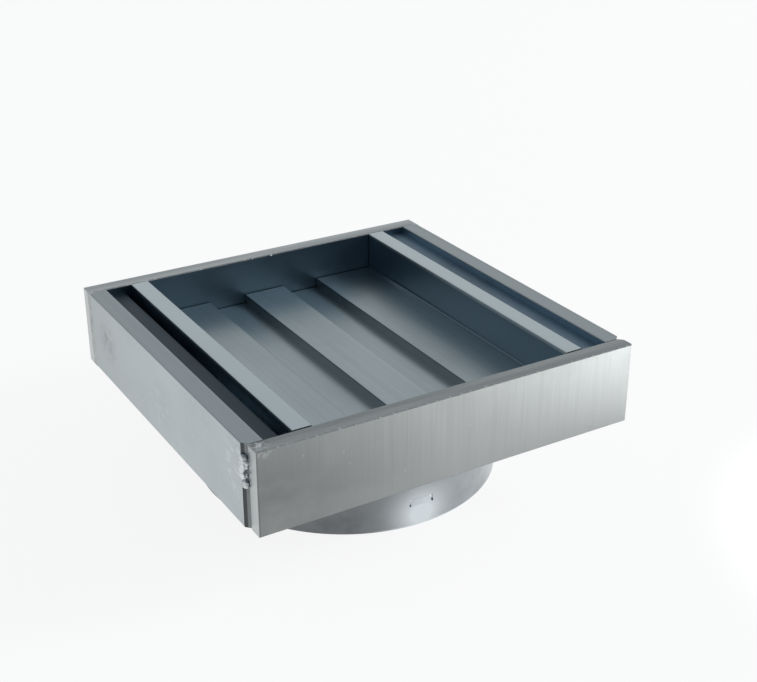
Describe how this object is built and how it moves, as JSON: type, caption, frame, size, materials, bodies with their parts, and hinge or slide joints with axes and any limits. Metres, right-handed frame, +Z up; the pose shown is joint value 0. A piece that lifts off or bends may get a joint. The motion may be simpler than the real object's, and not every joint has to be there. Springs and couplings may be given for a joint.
{
  "type": "floor waste",
  "caption": "Square aluminium floor waste with a lift-out grooved tile tray, drain slots along two sides and a round outlet spigot below.",
  "frame": {"origin": "centre of the spigot's lower rim, in the plane that it stands on", "axes": "+Z up towards the grate side, X along the front end plate, the front end plate faces -Y"},
  "size_m": [0.1308, 0.13, 0.0515],
  "materials": {
    "frame_aluminium": "mill-finish extrusion, fine lines along its length, scuffed",
    "plate_aluminium": "linished, brushed upright, sawn edges",
    "tray_aluminium": "satin extrusion",
    "spigot_aluminium": "smooth bright sheet",
    "weld_aluminium": "rough cast weld metal"
  },
  "bodies": {
    "root": {"channel_body": "frame_aluminium", "front_end_plate": "plate_aluminium", "rear_end_plate": "plate_aluminium", "tile_tray": "tray_aluminium", "outlet_spigot": "spigot_aluminium", "weld_front_left": "weld_aluminium", "weld_front_right": "weld_aluminium", "weld_rear_left": "weld_aluminium", "weld_rear_right": "weld_aluminium"}
  },
  "joints": []
}
